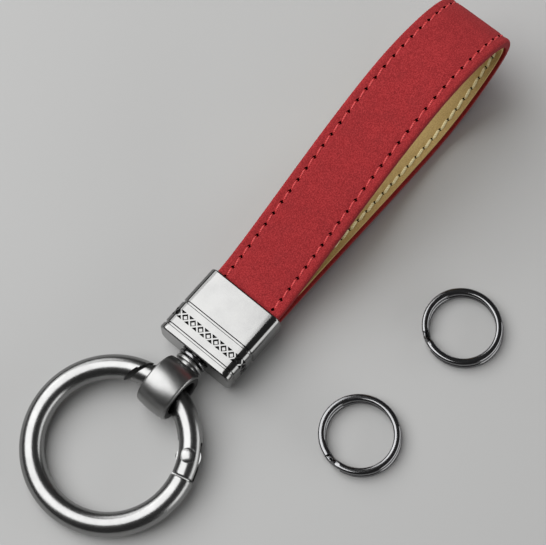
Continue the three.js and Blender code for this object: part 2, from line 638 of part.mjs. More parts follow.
const keychain = new THREE.Group();
keychain.add(
  ...strapPieces(),
  ferrulePiece(),
  ...pinPieces(),
  disc('swivel_washer', WASHER_X, WASHER_THICKNESS, WASHER_RADIUS, GUNMETAL),
  eyePiece(),
  disc('swivel_retainer', RETAINER_X, RETAINER_THICKNESS, RETAINER_RADIUS, STEEL),
  ringGroup(),
  splitRingPiece('split_ring_1', SPLIT_1_ALONG, -SPLIT_1_ASIDE, SPLIT_1_END),
  splitRingPiece('split_ring_2', SPLIT_2_ALONG, -SPLIT_2_ASIDE, SPLIT_2_END),
);

// The origin lies on the table, under the middle of the whole set.
keychain.updateMatrixWorld(true);
const box = new THREE.Box3().setFromObject(keychain, true);
const middle = box.getCenter(point(0, 0, 0));
keychain.position.set(-middle.x, -middle.y, -box.min.z);

export default keychain;
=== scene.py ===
"""The looks of a leather strap keychain: a stitched loop, a plated ferrule and swivel, a spring ring."""

import bisect
import math

import bmesh
import bpy
from mathutils import Matrix, Vector
from mathutils.geometry import interpolate_bezier


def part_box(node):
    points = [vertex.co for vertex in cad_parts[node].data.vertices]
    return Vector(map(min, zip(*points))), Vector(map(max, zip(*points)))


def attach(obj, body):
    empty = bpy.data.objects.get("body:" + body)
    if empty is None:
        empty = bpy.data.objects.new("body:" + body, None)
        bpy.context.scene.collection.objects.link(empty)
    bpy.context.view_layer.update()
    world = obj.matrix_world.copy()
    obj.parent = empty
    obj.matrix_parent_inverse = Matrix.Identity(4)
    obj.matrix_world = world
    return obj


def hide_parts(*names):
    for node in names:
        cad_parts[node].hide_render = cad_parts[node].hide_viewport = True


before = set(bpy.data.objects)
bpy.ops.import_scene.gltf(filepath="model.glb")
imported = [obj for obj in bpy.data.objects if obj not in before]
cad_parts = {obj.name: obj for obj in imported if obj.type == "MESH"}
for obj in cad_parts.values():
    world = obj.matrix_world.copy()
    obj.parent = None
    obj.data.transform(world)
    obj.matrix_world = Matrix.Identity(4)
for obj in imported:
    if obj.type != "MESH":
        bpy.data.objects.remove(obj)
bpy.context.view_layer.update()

MM = 0.001
FULL_TURN = 2 * math.pi
MERGE_DISTANCE = 0.002 * MM

# How finely round shapes are divided
CORNER_STEPS = 5
TURNED_STEPS = 64
EYE_STEPS = 96
EYE_BULGE_STEPS = 6
RIVET_STEPS = 40
DOME_STEPS = 10
BAR_SIDES = 48
COLUMN_SIDES = 180
WIRE_SIDES = 40
WIRE_STEP = math.radians(2.5)
SEAM_STEPS = 3

# The angles, in degrees, past which an edge stays sharp
SLEEVE_SHARP = 30
RING_SHARP = 32
EYE_SHARP = 34
TURNED_SHARP = 40
STRAP_SHARP = 50
THREAD_SHARP = 60

# Where the ferrule and the swivel axis lie
FERRULE_LOW, FERRULE_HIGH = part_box("ferrule")
FRONT_X = FERRULE_LOW.x
MOUTH_X = FERRULE_HIGH.x
AXIS_Y = (FERRULE_LOW.y + FERRULE_HIGH.y) / 2
AXIS_Z = (FERRULE_LOW.z + FERRULE_HIGH.z) / 2
STRAP_START_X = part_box("strap_leather")[0].x

# Strap
STRAP_WIDTH = 19.2 * MM
LEATHER = 2.1 * MM
LINING = 0.8 * MM
GLUE_LINE = 0.1 * MM
LINING_INSET = 0.8 * MM
EDGE_ROUND = 0.85 * MM
STRAP_END_GAP = 0.3 * MM
LOOP_REACH = 91.3 * MM
LOOP_HEIGHT = 32.6 * MM
CROWN_REACH = 64.7 * MM
BELLY_REACH = 63 * MM
FOLD_HEIGHT = 17.5 * MM
MOUTH_RIM = 0.5 * MM
RISE_PULL = 0.17
CROWN_PULL = 0.31
ROUND_PULL = 0.55
FOLD_PULL = 0.4
BELLY_PULL = 0.44
RETURN_PULL = 0.33
BEND_POINTS = 120
EDGE_ROUND_STEPS = 4
STRAP_CUTS = 330
LEATHER_CUTS = 33
LINING_CUTS = 12
SIDE_WALL_FACING = 0.9

# Stitching
STITCH_PITCH = 3.37 * MM
STITCH_FROM_EDGE = 2.4 * MM
LEFT_ROW_START = -0.07 * MM
RIGHT_ROW_START = 1.1 * MM
ROW_CLEAR = 2.2 * MM
ROW_DIP = 0.2 * MM
ROW_DIP_WIDTH = 0.75 * MM
HOLE_LENGTH = 1.35 * MM
HOLE_WIDTH = 0.8 * MM
HOLE_DEPTH = 1.2 * MM
LINING_HOLE_LENGTH = 1.2 * MM
LINING_HOLE_WIDTH = 0.75 * MM
LINING_HOLE_DEPTH = 0.5 * MM
HOLE_SLANT = math.radians(-24)
THREAD_RADIUS = 0.25 * MM
THREAD_TOP = -0.18 * MM
LINING_THREAD_RADIUS = 0.34 * MM
LINING_THREAD_TOP = 0.12 * MM
THREAD_DIP = 0.5 * MM
THREAD_LEAN = 0.28 * MM
HOLE_SIDES = 10
# A stitch's share of the way between two holes, with how far it has sunk there
STITCH_SHAPE = ((0.11, 1), (0.18, 0.45), (0.29, 0.1), (0.5, 0), (0.71, 0.1), (0.82, 0.45), (0.89, 1))

# Ferrule
FERRULE_LENGTH = MOUTH_X - FRONT_X
FERRULE_WIDTH = FERRULE_HIGH.y - FERRULE_LOW.y
FERRULE_HEIGHT = FERRULE_HIGH.z - FERRULE_LOW.z
FERRULE_CORNER = 2.6 * MM
FERRULE_CORNER_STEPS = 10
FERRULE_RIM = 0.5 * MM
FERRULE_RIM_STEP = 18
SKIN_MERGE_DISTANCE = 0.004 * MM
FERRULE_END_WALL = 2.2 * MM
SOCKET_WIDTH = 19.5 * MM
SOCKET_HEIGHT = 6.6 * MM
SOCKET_CORNER = 1 * MM
GROOVE_WIDTH = 0.85 * MM
GROOVE_DEPTH = 0.3 * MM
GROOVE_DRAFT = 0.2 * MM
FRONT_GROOVES = 2 * MM
BACK_GROOVES = 8.7 * MM
CROSS_BAND = 2.5 * MM
CROSS_PITCH = 2.5 * MM
CROSS_ARM = 0.38 * MM
CROSS_DEPTH = 0.45 * MM
CROSS_DRAFT = 0.3 * MM
PIN_RADIUS = 1.1 * MM

# Swivel
SPIGOT_RADIUS = 1.9 * MM
SPIGOT_CLEARANCE = 0.3 * MM
SWIVEL_PLAY = 0.25 * MM
WASHER_RADIUS = 3.9 * MM
WASHER_THICKNESS = 1 * MM
FLANGE_RADIUS = 3.7 * MM
FLANGE_THICKNESS = 1 * MM
NECK_RADIUS = 2.6 * MM
NECK_LENGTH = 0.1 * MM
PEEN_RADIUS = 2.5 * MM
PEEN_X = 3.5 * MM
PEEN_THICKNESS = 0.6 * MM
DISC_ROUND = 0.3 * MM
EYE_RADIUS = 7 * MM
EYE_END_RADIUS = 6.6 * MM
EYE_LENGTH = 8.6 * MM
EYE_BORE = 4.5 * MM
EYE_RIM = 0.5 * MM

# Spring ring
RING_RADIUS = 19 * MM
WIRE_RADIUS = 3 * MM
RING_YAW = math.radians(-5)
RING_SAG = 1.1 * MM
PIVOT_ANGLE = math.radians(-54.8)
TAIL_LENGTH = 5 * MM
SEAM_GAP = 0.35 * MM
SEAM_ROUND = 0.3 * MM
LATCH_GAP = 0.9 * MM
LATCH_FROM_Y = -1 * MM
LIP_ROOT_RADIUS = 19.2 * MM
NOSE_SWING = 23.7 * MM
STEP_SWING = 24.9 * MM
LATCH_END = math.radians(60)
TONGUE_THICKNESS = 2.4 * MM
TONGUE_RADIUS = 2.95 * MM
EAR_RADIUS = 0.9 * MM
EAR_REACH = 2.45 * MM
TONGUE_BAR = 4.4 * MM
TONGUE_ROOT = 2 * MM
SLOT_THICKNESS = 3 * MM
SLOT_REACH = 3.7 * MM
RIVET_RADIUS = 1.2 * MM
TONGUE_BORE_CLEARANCE = 0.3 * MM
FORK_BORE_CLEARANCE = 0.1 * MM
RIVET_HEAD_RADIUS = 1.8 * MM
RIVET_HEAD_SEAT = 2.6 * MM
RIVET_DOME = 0.45 * MM
RIVET_DOME_SEAT = 2.7 * MM
RIVET_SEAT_GAP = 0.04 * MM
SPRING_BORE = 1.3 * MM
SPRING_BORE_END = 11.46 * MM
SPRING_TILT = math.radians(15)

# Split rings
SPLIT_RADIUS = 10 * MM
SPLIT_WIRE_WIDTH = 1.8 * MM
SPLIT_WIRE_HEIGHT = 1.4 * MM
SPLIT_WIRE_EDGE = 0.66 * MM
SPLIT_TURN_GAP = 0.45 * MM
SPLIT_FALL = math.radians(18)
SPLIT_EASE = 0.12
SPLIT_TURN_STEPS = 90
SPLIT_EASE_STEPS = 5
SPLIT_FALL_STEPS = 8
SPLIT_END_GAP = math.radians(4)
SPLIT_LEAN = (-0.1, 0.16)
SPLIT_ENDS = {"split_ring_1": math.radians(163), "split_ring_2": math.radians(138)}

# Camera and studio
CAMERA_PLACE = Vector((-99.94, -68.4, 368.4)) * MM
CAMERA_AIM = Vector((0.63, 16.46, 0)) * MM
CAMERA_LENS = 103.06
CAMERA_NEAR = 10 * MM
FLOOR_REACH = 3
FLOOR_COLOUR = (0.44, 0.44, 0.436, 1)
FLOOR_ROUGHNESS = 0.9
SURROUNDINGS = (0.06, 0.06, 0.06, 1)


# Making and shaping pieces

def piece_of(name, bm, *materials):
    """A linked object from a bmesh, with its finishes."""
    mesh = bpy.data.meshes.new(name)
    bm.to_mesh(mesh)
    bm.free()
    for material in materials:
        mesh.materials.append(material)
    piece = bpy.data.objects.new(name, mesh)
    bpy.context.scene.collection.objects.link(piece)
    return piece


def boolean(piece, tool, operation):
    """Cuts a piece by a tool, or joins them, and removes the tool."""
    modifier = piece.modifiers.new(operation.lower(), "BOOLEAN")
    modifier.operation = operation
    modifier.object = tool
    modifier.solver = "EXACT"
    modifier.material_mode = "TRANSFER"
    shaped = piece.evaluated_get(bpy.context.evaluated_depsgraph_get())
    mesh = bpy.data.meshes.new_from_object(shaped)
    piece.modifiers.clear()
    piece.data = mesh
    bpy.data.objects.remove(tool)
    return piece


def smooth(piece, sharp_angle):
    """Smooth shading, broken at edges sharper than the angle."""
    piece.data.shade_smooth()
    piece.data.set_sharp_from_angle(angle=math.radians(sharp_angle))
    return piece


def fit(piece, body, slot, *nodes):
    """Puts a finished piece on its body, in place of CAD nodes."""
    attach(piece, body)
    if nodes:
        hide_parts(*nodes)
    return piece


def move(bm, matrix):
    """Moves the whole of a bmesh."""
    bmesh.ops.transform(bm, matrix=matrix, verts=bm.verts[:])


def close_up(bm, distance=MERGE_DISTANCE):
    """Merges doubled points, then turns every face outwards."""
    bmesh.ops.remove_doubles(bm, verts=bm.verts[:], dist=distance)
    bmesh.ops.recalc_face_normals(bm, faces=bm.faces[:])


def outline_face(bm, points, rounds=None):
    """A flat face through points in the XY plane. rounds gives corner radii by corner number."""
    corners = [bm.verts.new((x, y, 0)) for x, y in points]
    face = bm.faces.new(corners)
    for number, radius in (rounds or {}).items():
        bmesh.ops.bevel(
            bm, geom=[corners[number]], offset=radius, segments=CORNER_STEPS, profile=0.5,
            affect="VERTICES", material=-1,
        )
    return face


def turned(points, rounds, steps=TURNED_STEPS):
    """A solid turned about Z from an outline of (radius, height) points."""
    bm = bmesh.new()
    outline_face(bm, points, rounds)
    bmesh.ops.delete(bm, geom=bm.faces[:], context="FACES_ONLY")
    on_axis = [e for e in bm.edges if all(abs(v.co.x) < 1e-9 for v in e.verts)]
    bmesh.ops.delete(bm, geom=on_axis, context="EDGES")
    move(bm, Matrix.Rotation(math.pi / 2, 4, "X"))
    bmesh.ops.spin(
        bm, geom=bm.verts[:] + bm.edges[:], cent=(0, 0, 0), axis=(0, 0, 1), angle=FULL_TURN,
        steps=steps, use_merge=True,
    )
    close_up(bm)
    return bm


def rounded_rectangle(width, height, radius):
    """An outline's points, with the radii of its corners."""
    half_width, half_height = width / 2, height / 2
    points = [(half_width, half_height), (-half_width, half_height)]
    points += [(-half_width, -half_height), (half_width, -half_height)]
    return points, {corner: radius for corner in range(4)}


def prism(points, rounds, depth):
    """A straight solid on an outline in the XY plane, from z = 0 up."""
    bm = bmesh.new()
    outline_face(bm, points, rounds)
    raised = bmesh.ops.extrude_face_region(bm, geom=bm.faces[:])["geom"]
    top = [v for v in raised if isinstance(v, bmesh.types.BMVert)]
    bmesh.ops.translate(bm, vec=(0, 0, depth), verts=top)
    close_up(bm)
    return bm


def round_bar(radius, low, high, sides=BAR_SIDES):
    """A round bar on Z between two heights."""
    bm = bmesh.new()
    bmesh.ops.create_cone(
        bm, cap_ends=True, segments=sides, radius1=radius, radius2=radius, depth=high - low,
        matrix=Matrix.Translation((0, 0, (low + high) / 2)),
    )
    return bm


def block(low, high):
    """A square block between two corners."""
    bm = bmesh.new()
    low, high = Vector(low), Vector(high)
    shape = Matrix.Translation((low + high) / 2) @ Matrix.Diagonal((*(high - low), 1))
    bmesh.ops.create_cube(bm, size=1, matrix=shape)
    return bm


# Finishes

def finish_of(name):
    """A new node material: its nodes, its links and its shader."""
    material = bpy.data.materials.new(name)
    material.use_nodes = True
    tree = material.node_tree
    return material, tree.nodes, tree.links, tree.nodes["Principled BSDF"]


def noise(nodes, links, scale, detail=3, roughness=0.55):
    """A noise that stays fixed to the piece."""
    place = nodes.new("ShaderNodeTexCoord")
    texture = nodes.new("ShaderNodeTexNoise")
    texture.inputs["Scale"].default_value = scale
    texture.inputs["Detail"].default_value = detail
    texture.inputs["Roughness"].default_value = roughness
    links.new(place.outputs["Object"], texture.inputs["Vector"])
    return texture.outputs["Fac"]


def ramp(nodes, links, value, *stops):
    """Turns a value into a colour through (position, colour) stops."""
    node = nodes.new("ShaderNodeValToRGB")
    elements = node.color_ramp.elements
    while len(elements) < len(stops):
        elements.new(0.5)
    for element, (position, colour) in zip(elements, stops):
        element.position = position
        element.color = (*colour, 1)
    links.new(value, node.inputs["Fac"])
    return node.outputs["Color"]


def span(nodes, links, value, low, high):
    """Spreads the middle of a noise over a range."""
    node = nodes.new("ShaderNodeMapRange")
    node.inputs["From Min"].default_value = 0.3
    node.inputs["From Max"].default_value = 0.7
    node.inputs["To Min"].default_value = low
    node.inputs["To Max"].default_value = high
    links.new(value, node.inputs["Value"])
    return node.outputs["Result"]


def bump(nodes, links, height, distance, strength, under=None):
    """A fine relief, which can lie on another one under it."""
    node = nodes.new("ShaderNodeBump")
    node.inputs["Distance"].default_value = distance
    node.inputs["Strength"].default_value = strength
    links.new(height, node.inputs["Height"])
    if under is not None:
        links.new(under, node.inputs["Normal"])
    return node.outputs["Normal"]


def nubuck(name, dark, middle, light, nap_bump):
    """Brushed leather: mottled colour, a fine nap and a soft sheen."""
    material, nodes, links, shader = finish_of(name)
    mottle = noise(nodes, links, 260, 5, 0.62)
    nap = noise(nodes, links, 3400, 4, 0.75)
    mixed = nodes.new("ShaderNodeMath")
    mixed.operation = "MULTIPLY_ADD"
    mixed.inputs[1].default_value = 0.86
    links.new(nap, mixed.inputs[0])
    scaled = nodes.new("ShaderNodeMath")
    scaled.operation = "MULTIPLY"
    scaled.inputs[1].default_value = 0.14
    links.new(mottle, scaled.inputs[0])
    links.new(scaled.outputs[0], mixed.inputs[2])
    colour = ramp(nodes, links, mixed.outputs[0], (0.43, dark), (0.5, middle), (0.58, light))
    links.new(colour, shader.inputs["Base Color"])
    links.new(span(nodes, links, mottle, 0.82, 0.96), shader.inputs["Roughness"])
    creases = bump(nodes, links, noise(nodes, links, 700, 4), 0.12 * MM, 0.25)
    links.new(bump(nodes, links, nap, 0.06 * MM, nap_bump, creases), shader.inputs["Normal"])
    shader.inputs["Specular IOR Level"].default_value = 0.25
    shader.inputs["Sheen Weight"].default_value = 0.12
    shader.inputs["Sheen Roughness"].default_value = 0.45
    shader.inputs["Sheen Tint"].default_value = (*light, 1)
    return material


def plated_metal(name, dark, light, roughness):
    """Plated metal, and near-black painted shade: a slightly uneven tone and gloss, with faint handling
    marks.
    """
    material, nodes, links, shader = finish_of(name)
    cloud = noise(nodes, links, 180, 2)
    marks = noise(nodes, links, 900, 2)
    links.new(ramp(nodes, links, cloud, (0.35, dark), (0.65, light)), shader.inputs["Base Color"])
    links.new(span(nodes, links, marks, roughness * 0.94, roughness * 1.08), shader.inputs["Roughness"])
    shader.inputs["Metallic"].default_value = 1
    return material


def sewing_thread(name, dark, light):
    """Twisted thread: thin slanted strands."""
    material, nodes, links, shader = finish_of(name)
    place = nodes.new("ShaderNodeTexCoord")
    twist = nodes.new("ShaderNodeTexWave")
    twist.bands_direction = "DIAGONAL"
    twist.inputs["Scale"].default_value = 900
    twist.inputs["Distortion"].default_value = 1.5
    links.new(place.outputs["Object"], twist.inputs["Vector"])
    strands = ramp(nodes, links, twist.outputs["Fac"], (0.2, dark), (0.8, light))
    links.new(strands, shader.inputs["Base Color"])
    links.new(bump(nodes, links, twist.outputs["Fac"], 0.05 * MM, 0.4), shader.inputs["Normal"])
    shader.inputs["Roughness"].default_value = 0.5
    return material


def needle_shade(name, colour):
    """Painted shade in a needle hole: near black, with a frayed tone."""
    material, nodes, links, shader = finish_of(name)
    fray = noise(nodes, links, 4000)
    deep = [0.4 * part for part in colour]
    links.new(ramp(nodes, links, fray, (0.3, deep), (0.7, colour)), shader.inputs["Base Color"])
    shader.inputs["Roughness"].default_value = 1
    shader.inputs["Specular IOR Level"].default_value = 0
    return material


RED_NUBUCK = nubuck(
    "red_nubuck", (0.22, 0.0115, 0.0142), (0.297, 0.018, 0.0217), (0.402, 0.0352, 0.038), nap_bump=0.5,
)
RED_EDGE_PAINT = nubuck(
    "red_edge_paint", (0.18, 0.012, 0.015), (0.21, 0.015, 0.018), (0.25, 0.02, 0.023), nap_bump=0.2,
)
TAN_SUEDE = nubuck(
    "tan_suede", (0.475, 0.335, 0.13), (0.54, 0.387, 0.158), (0.605, 0.447, 0.194), nap_bump=0.35,
)
RED_THREAD = sewing_thread("red_thread", (0.42, 0.024, 0.028), (0.7, 0.06, 0.06))
TAN_THREAD = sewing_thread("tan_thread", (0.78, 0.68, 0.36), (0.95, 0.88, 0.55))
RED_HOLE_SHADE = needle_shade("red_needle_hole_shade", (0.06, 0.006, 0.008))
TAN_HOLE_SHADE = needle_shade("tan_needle_hole_shade", (0.05, 0.033, 0.012))
GUNMETAL = plated_metal("polished_gunmetal", (0.205, 0.205, 0.203), (0.22, 0.22, 0.217), 0.12)
RING_METAL = plated_metal("brushed_gunmetal", (0.24, 0.24, 0.238), (0.27, 0.27, 0.268), 0.25)
SATIN_GUNMETAL = plated_metal("satin_gunmetal", (0.265, 0.265, 0.262), (0.285, 0.285, 0.282), 0.34)
# Black nickel for the split rings; the washer takes it as painted shade, darker than the gunmetal beside it
BLACK_NICKEL_AND_SHADE = plated_metal("black_nickel", (0.18, 0.18, 0.184), (0.205, 0.205, 0.21), 0.12)
# Painted shade: near black, for the eye's bore and end faces, the walls of the ferrule's crosses and the
# latch's cut
PAINTED_SHADE = plated_metal("painted_shade", (0.02, 0.02, 0.02), (0.035, 0.035, 0.035), 0.45)
PLAIN_STEEL = plated_metal("plain_steel", (0.45, 0.45, 0.45), (0.55, 0.55, 0.55), 0.3)


# The strap is made flat, x along it, y across and z outwards, and then bent along its glue line

def strap_line():
    """Points along the glue line, from the upper end inside the ferrule round to the lower end."""
    def at(x, z):
        return Vector((x, AXIS_Y, z))

    def along(x):
        return Vector((x, 0, 0))

    def up(z):
        return Vector((0, 0, z))

    layer = STRAP_END_GAP / 2 + LINING + GLUE_LINE / 2
    outside = LEATHER + GLUE_LINE / 2
    mouth = MOUTH_X + MOUTH_RIM
    upper_end = at(STRAP_START_X, AXIS_Z + layer)
    upper_mouth = at(mouth, AXIS_Z + layer)
    crown = at(MOUTH_X + CROWN_REACH, LOOP_HEIGHT - outside)
    fold = at(MOUTH_X + LOOP_REACH - outside, FOLD_HEIGHT)
    belly = at(MOUTH_X + BELLY_REACH, outside)
    lower_mouth = at(mouth, AXIS_Z - layer)
    lower_end = at(STRAP_START_X, AXIS_Z - layer)
    rise, run = crown.x - mouth, belly.x - mouth
    tip, drop, lift = fold.x - crown.x, crown.z - fold.z, fold.z - belly.z
    bends = [
        (upper_mouth, along(RISE_PULL * rise), along(-CROWN_PULL * rise), crown),
        (crown, along(ROUND_PULL * tip), up(ROUND_PULL * drop), fold),
        (fold, up(-FOLD_PULL * lift), along(BELLY_PULL * (fold.x - belly.x)), belly),
        (belly, along(-RETURN_PULL * run), along(RETURN_PULL * run), lower_mouth),
    ]
    line = [upper_end]
    for start, pull_out, pull_in, end in bends:
        line += interpolate_bezier(start, start + pull_out, end + pull_in, end, BEND_POINTS)[:-1]
    return line + [lower_mouth, lower_end]


STRAP_LINE = strap_line()
STRAP_AT = [0.0]
for here, there in zip(STRAP_LINE, STRAP_LINE[1:]):
    STRAP_AT.append(STRAP_AT[-1] + (there - here).length)
STRAP_LENGTH = STRAP_AT[-1]
STRAP_IN_FERRULE = STRAP_AT[1]


def heading(number):
    """The direction of the glue line at one of its points."""
    before = STRAP_LINE[max(number - 1, 0)]
    after = STRAP_LINE[min(number + 1, len(STRAP_LINE) - 1)]
    return (after - before).normalized()


def bent(flat):
    """A point of the flat strap, at its place on the loop."""
    number = min(max(bisect.bisect_right(STRAP_AT, flat.x) - 1, 0), len(STRAP_AT) - 2)
    share = (flat.x - STRAP_AT[number]) / (STRAP_AT[number + 1] - STRAP_AT[number])
    centre = STRAP_LINE[number].lerp(STRAP_LINE[number + 1], share)
    along = heading(number).lerp(heading(number + 1), share).normalized()
    return centre + Vector((0, flat.y, 0)) + Vector((-along.z, 0, along.x)) * flat.z


def flat_strip(half_width, low, high, edge_round, cuts_across):
    """A flat strip with its two outer edges rounded, divided so that it can bend."""
    def runs_along(edge):
        return abs(edge.verts[0].co.x - edge.verts[1].co.x) > STRAP_LENGTH / 2

    def runs_across(edge):
        return abs(edge.verts[0].co.y - edge.verts[1].co.y) > half_width

    bm = block((0, -half_width, low), (STRAP_LENGTH, half_width, high))
    if edge_round:
        outer = [e for e in bm.edges if runs_along(e) and e.verts[0].co.z > (low + high) / 2]
        bmesh.ops.bevel(
            bm, geom=outer, offset=edge_round, segments=EDGE_ROUND_STEPS, profile=0.5, affect="EDGES",
            material=-1,
        )
    crosswise = [e for e in bm.edges if runs_across(e)]
    bmesh.ops.subdivide_edges(bm, edges=crosswise, cuts=cuts_across, use_grid_fill=True)
    lengthwise = [e for e in bm.edges if runs_along(e)]
    bmesh.ops.subdivide_edges(bm, edges=lengthwise, cuts=STRAP_CUTS, use_grid_fill=True)
    return bm


STITCH_ROW = STRAP_WIDTH / 2 - STITCH_FROM_EDGE


def stitch_rows():
    """Each row's place across the strap, with the places of its needle holes along it."""
    for side, start in ((1, LEFT_ROW_START), (-1, RIGHT_ROW_START)):
        first = STRAP_IN_FERRULE + start
        count = int((STRAP_LENGTH - STRAP_IN_FERRULE - ROW_CLEAR - first) / STITCH_PITCH) + 1
        yield side * STITCH_ROW, [first + STITCH_PITCH * number for number in range(count)]


def needle_holes(surface, length, width, depth, slant, material):
    """Slanted holes under the surface of the flat strap, as one tool."""
    bm = bmesh.new()
    shape = Matrix.Diagonal((length / 2, width / 2, depth * 2, 1))
    for across, places in stitch_rows():
        for place in places:
            matrix = Matrix.Translation((place, across, surface)) @ Matrix.Rotation(slant, 4, "Z") @ shape
            bmesh.ops.create_cone(
                bm, cap_ends=True, segments=HOLE_SIDES, radius1=1, radius2=1, depth=1, matrix=matrix,
            )
    return piece_of("needle_holes", bm, material)


def stitching(name, surface, outwards, radius, top, material):
    """A thread from hole to hole, pulled into the strap at both its ends."""
    curve = bpy.data.curves.new(name, "CURVE")
    curve.dimensions = "3D"
    curve.bevel_depth = radius
    curve.bevel_resolution = 1
    curve.use_fill_caps = True
    for across, places in stitch_rows():
        for start, end in zip(places, places[1:]):
            spline = curve.splines.new("POLY")
            spline.points.add(len(STITCH_SHAPE) - 1)
            for point, (share, sunk) in zip(spline.points, STITCH_SHAPE):
                flat = Vector((
                    start + share * (end - start),
                    across + THREAD_LEAN * (2 * share - 1) * outwards,
                    surface + (top - sunk * THREAD_DIP) * outwards,
                ))
                point.co = (*bent(flat), 1)
    wound = bpy.data.objects.new(name, curve)
    bpy.context.scene.collection.objects.link(wound)
    mesh = bpy.data.meshes.new_from_object(wound.evaluated_get(bpy.context.evaluated_depsgraph_get()))
    bpy.data.objects.remove(wound)
    mesh.materials.clear()
    mesh.materials.append(material)
    thread = bpy.data.objects.new(name, mesh)
    bpy.context.scene.collection.objects.link(thread)
    return smooth(thread, THREAD_SHARP)


def bend_piece(piece):
    """Bends a finished flat piece into the loop."""
    for vertex in piece.data.vertices:
        vertex.co = bent(vertex.co)
    piece.data.update()
    return piece


def leather_loop():
    """The red outside of the loop, with painted edges and a row of needle holes along each."""
    inside = GLUE_LINE / 2
    outside = inside + LEATHER
    bm = flat_strip(STRAP_WIDTH / 2, inside, outside, EDGE_ROUND, LEATHER_CUTS)
    for vertex in bm.verts:
        if vertex.co.z > outside - 0.5 * EDGE_ROUND:
            from_row = (abs(vertex.co.y) - STITCH_ROW) / ROW_DIP_WIDTH
            vertex.co.z -= ROW_DIP * math.exp(-from_row * from_row)
    bm.normal_update()
    for face in bm.faces:
        if abs(face.normal.y) > SIDE_WALL_FACING:
            face.material_index = 1
    leather = piece_of("leather_loop", bm, RED_NUBUCK, RED_EDGE_PAINT)
    # The holes' walls take painted shade
    holes = needle_holes(outside, HOLE_LENGTH, HOLE_WIDTH, HOLE_DEPTH, HOLE_SLANT, RED_HOLE_SHADE)
    boolean(leather, holes, "DIFFERENCE")
    return smooth(bend_piece(leather), STRAP_SHARP)


def lining_strip():
    """The tan inside of the loop, a little narrower, with the same rows of holes."""
    outside = -GLUE_LINE / 2
    inside = outside - LINING
    bm = flat_strip(STRAP_WIDTH / 2 - LINING_INSET, inside, outside, 0, LINING_CUTS)
    lining = piece_of("lining_strip", bm, TAN_SUEDE)
    # The holes' walls take painted shade
    holes = needle_holes(
        inside, LINING_HOLE_LENGTH, LINING_HOLE_WIDTH, LINING_HOLE_DEPTH, -HOLE_SLANT, TAN_HOLE_SHADE,
    )
    boolean(lining, holes, "DIFFERENCE")
    return smooth(bend_piece(lining), STRAP_SHARP)


# The ferrule's skin is made flat, x round it and y along it, and then wrapped

FLAT_TOP = FERRULE_WIDTH - 2 * FERRULE_CORNER
FLAT_SIDE = FERRULE_HEIGHT - 2 * FERRULE_CORNER
CORNER_ARC = FERRULE_CORNER * math.pi / 2
AROUND = 2 * (FLAT_TOP + FLAT_SIDE) + 4 * CORNER_ARC


def wrapped(flat):
    """A point of the flat skin, round the ferrule: its middle along the top, its ends meeting below."""
    side = 1 if flat.x > AROUND / 2 else -1
    run = abs(flat.x - AROUND / 2)
    centre_y, centre_z = FLAT_TOP / 2, FLAT_SIDE / 2
    reach = FERRULE_CORNER + flat.z - rim_drop(flat.y)
    runs = (FLAT_TOP / 2, CORNER_ARC, FLAT_SIDE, CORNER_ARC, FLAT_TOP / 2)
    stage = 0
    while stage < 4 and run > runs[stage]:
        run -= runs[stage]
        stage += 1
    turn = run / FERRULE_CORNER
    y, z = (
        (run, centre_z + reach),
        (centre_y + reach * math.sin(turn), centre_z + reach * math.cos(turn)),
        (centre_y + reach, centre_z - run),
        (centre_y + reach * math.cos(turn), -centre_z - reach * math.sin(turn)),
        (centre_y - run, -centre_z - reach),
    )[stage]
    return Vector((FRONT_X + flat.y, AXIS_Y - side * y, AXIS_Z + z))


def rim_drop(along):
    """How far the rounded rims draw the skin in."""
    short = max(FERRULE_RIM - along, along - FERRULE_LENGTH + FERRULE_RIM, 0)
    return FERRULE_RIM - math.sqrt(max(FERRULE_RIM ** 2 - short ** 2, 0))


def slice_at(bm, places, direction):
    """Divides the skin across a direction, at each place along it."""
    for place in places:
        bmesh.ops.bisect_plane(
            bm, geom=bm.verts[:] + bm.edges[:] + bm.faces[:], dist=1e-7,
            plane_co=Vector(direction) * place, plane_no=direction,
        )


def faces_between(bm, low, high):
    """The skin's faces that lie between two places along it."""
    return [f for f in bm.faces if low < f.calc_center_median().y < high]


